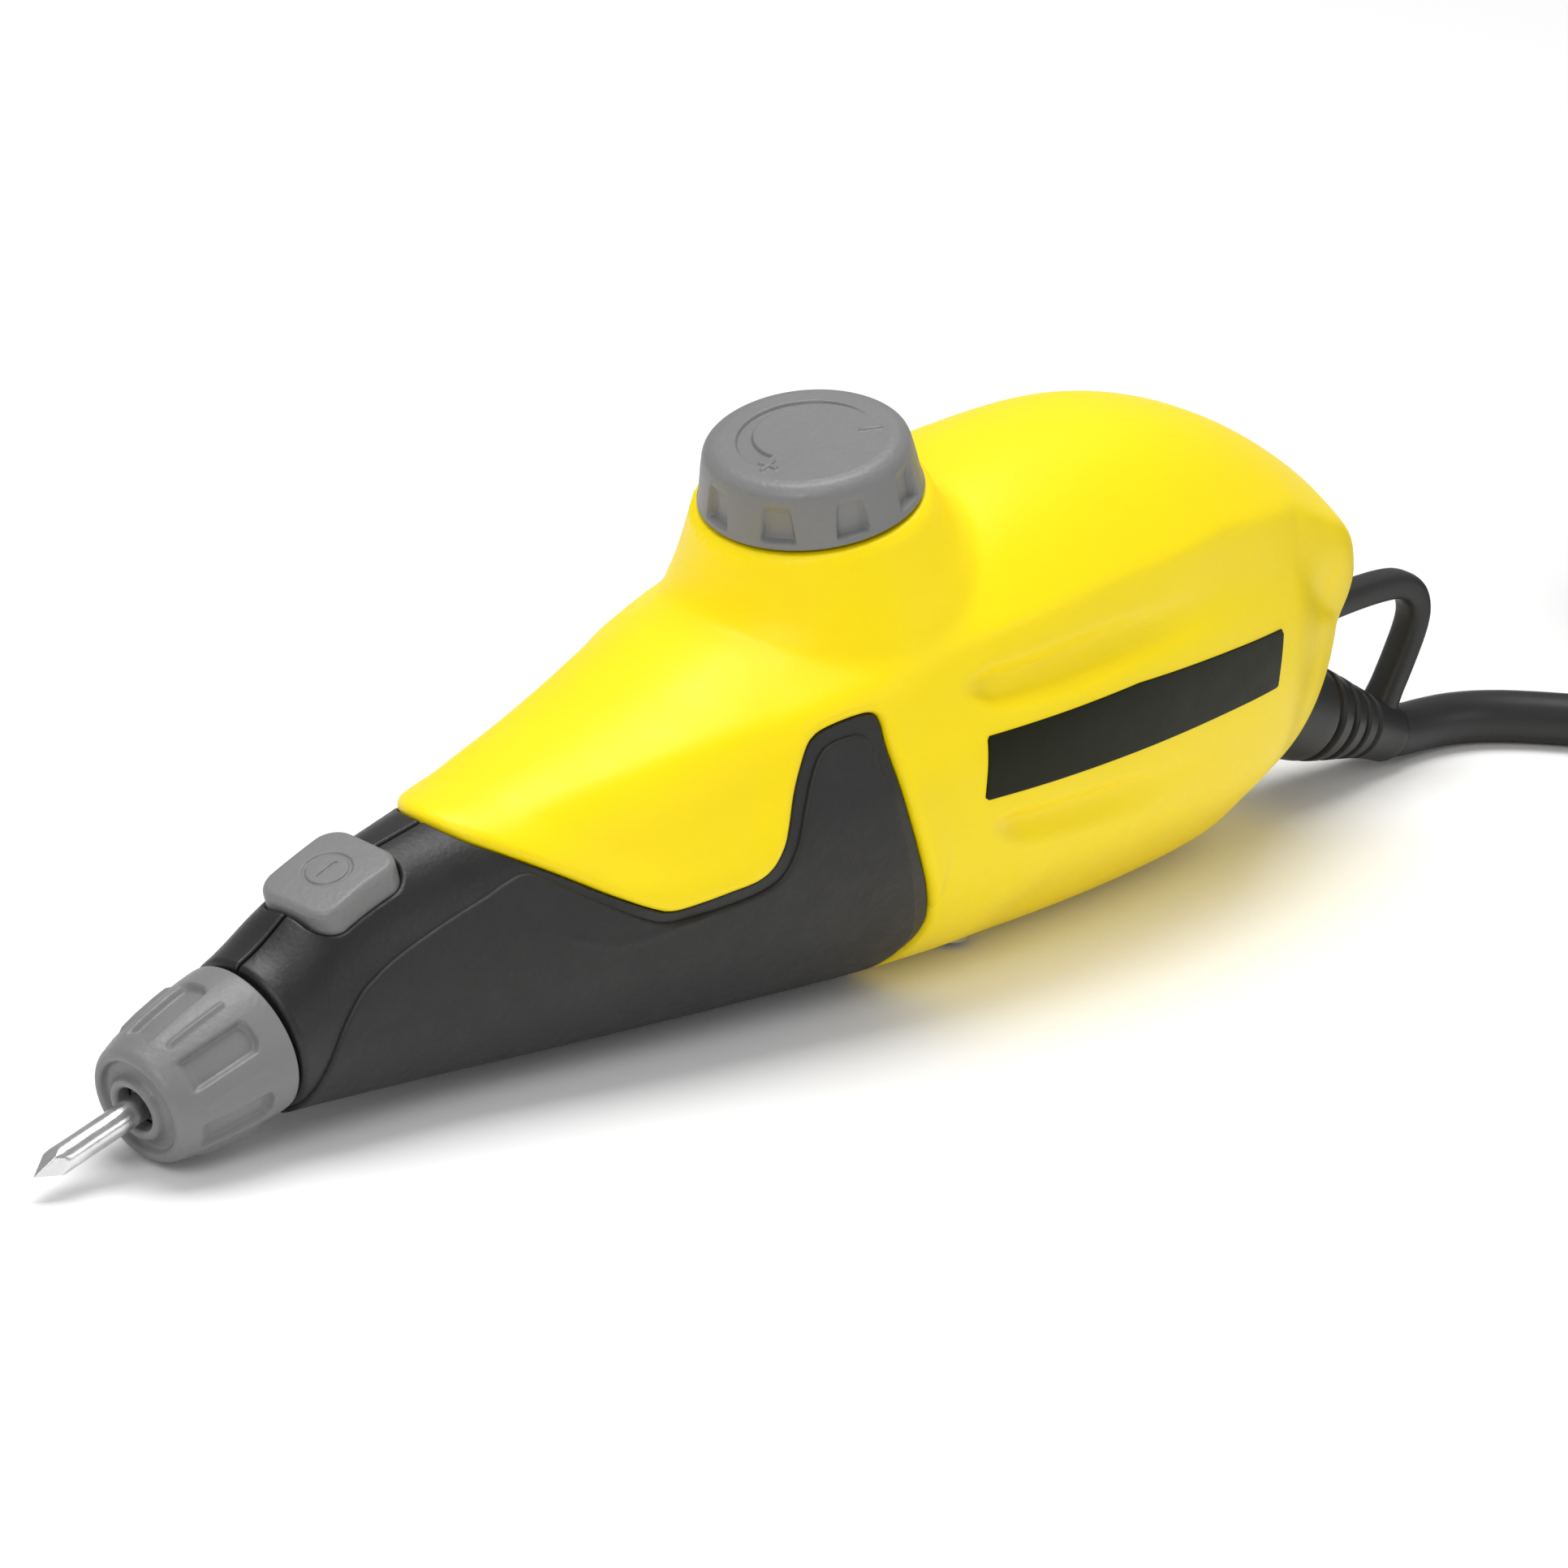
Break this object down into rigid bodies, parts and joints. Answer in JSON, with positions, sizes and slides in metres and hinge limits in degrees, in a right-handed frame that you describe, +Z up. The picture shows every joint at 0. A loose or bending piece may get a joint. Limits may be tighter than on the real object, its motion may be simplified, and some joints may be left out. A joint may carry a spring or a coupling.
{
  "type": "engraving pen",
  "caption": "Corded electric engraving pen with a tilted grip, threaded nose sleeve, stroke dial, push switch, hanging loop and mains cord.",
  "frame": {"origin": "centre of the bounding box of the tool without its cord, on the table under its belly", "axes": "+X from the stylus point to the cord end, +Z up out of the table, -Y the side with the belly to the table and the point to the left"},
  "size_m": [0.3943, 0.0588, 0.0642],
  "materials": {
    "yellow_plastic": "fine textured satin",
    "black_plastic": "fine textured matte",
    "black_rubber": "matte",
    "label_foil": "satin",
    "grey_plastic": "fine textured satin",
    "plated_steel": "polished",
    "carbide": "ground",
    "dark_steel": "blackened",
    "bronze": "machined",
    "spring_steel": "drawn",
    "screw_steel": "plated",
    "core_steel": "stamped",
    "cast_zinc": "cast",
    "white_nylon": "satin",
    "copper_enamel": "glossy",
    "switch_black": "satin",
    "brass": "machined",
    "lead_brown": "satin",
    "lead_blue": "satin",
    "lead_black": "satin",
    "cord_black": "satin"
  },
  "bodies": {
    "housing": {"rear_housing": "yellow_plastic", "grip_shell_left": "black_plastic", "grip_shell_right": "black_plastic", "grip_pad_left": "black_rubber", "grip_pad_right": "black_rubber", "label_plate_left": "label_foil", "label_plate_right": "label_foil", "nose_tube": "plated_steel", "front_guide_bush": "bronze", "rear_guide_bush": "bronze", "return_spring": "spring_steel", "magnet_frame": "cast_zinc", "laminated_core": "core_steel", "coil_bobbin": "white_nylon", "coil_winding": "copper_enamel", "core_bracket": "core_steel", "core_screws": "screw_steel", "dial_bush": "white_nylon", "dial_detent_spring": "spring_steel", "button_spring": "spring_steel", "switch_body": "switch_black", "switch_terminals": "brass", "shell_screws": "screw_steel", "belly_screws": "screw_steel", "terminal_block": "white_nylon", "terminal_screws": "brass", "cord_clamp": "switch_black", "clamp_screws": "screw_steel", "lead_live": "lead_brown", "lead_neutral": "lead_blue", "lead_switched": "lead_black", "strain_relief": "black_rubber", "power_cord": "cord_black", "cord_hank": "cord_black", "cord_tail": "cord_black", "cord_tie": "cord_black", "plug_body": "cord_black", "plug_pins": "plated_steel"},
    "hammer": {"stylus": "carbide", "stylus_chuck": "dark_steel", "chuck_set_screw": "dark_steel", "drive_rod": "plated_steel", "spring_collar": "dark_steel", "stop_collar": "dark_steel", "armature": "core_steel", "armature_nut": "plated_steel"},
    "dial": {"stroke_dial": "grey_plastic", "dial_shaft": "plated_steel", "dial_circlip": "dark_steel"},
    "button": {"power_button": "grey_plastic", "button_plunger": "white_nylon"},
    "sleeve_carrier": {"sleeve_snap_ring": "plated_steel", "dust_seal": "black_rubber"},
    "sleeve": {"nose_sleeve": "grey_plastic"}
  },
  "joints": [
    {"name": "stylus_stroke", "type": "slide", "parent": "housing", "child": "hammer", "axis": [0.9588, 0, 0.284], "range_m": [-0.0005, 0.0005], "stiffness_N_per_m": 3000},
    {"name": "dial_turn", "type": "hinge", "parent": "housing", "child": "dial", "pos_m": [-0.0045, 0, 0.0616], "axis": [-0.2672, 0, 0.9636], "range_deg": [0, 270]},
    {"name": "button_press", "type": "slide", "parent": "housing", "child": "button", "axis": [-0.3827, 0, 0.9239], "range_m": [-0.002, 0], "stiffness_N_per_m": 400},
    {"name": "sleeve_travel", "type": "slide", "parent": "housing", "child": "sleeve_carrier", "axis": [-0.9588, 0, -0.284], "range_m": [0, 0.0015]},
    {"name": "sleeve_turn", "type": "hinge", "parent": "sleeve_carrier", "child": "sleeve", "pos_m": [-0.09082, 0, 0.00843], "axis": [-0.9588, 0, -0.284], "range_deg": [0, 540]}
  ],
  "couplings": [
    {"joint": "sleeve_turn", "follows": "sleeve_travel", "rad_per_m": 6283.2}
  ]
}
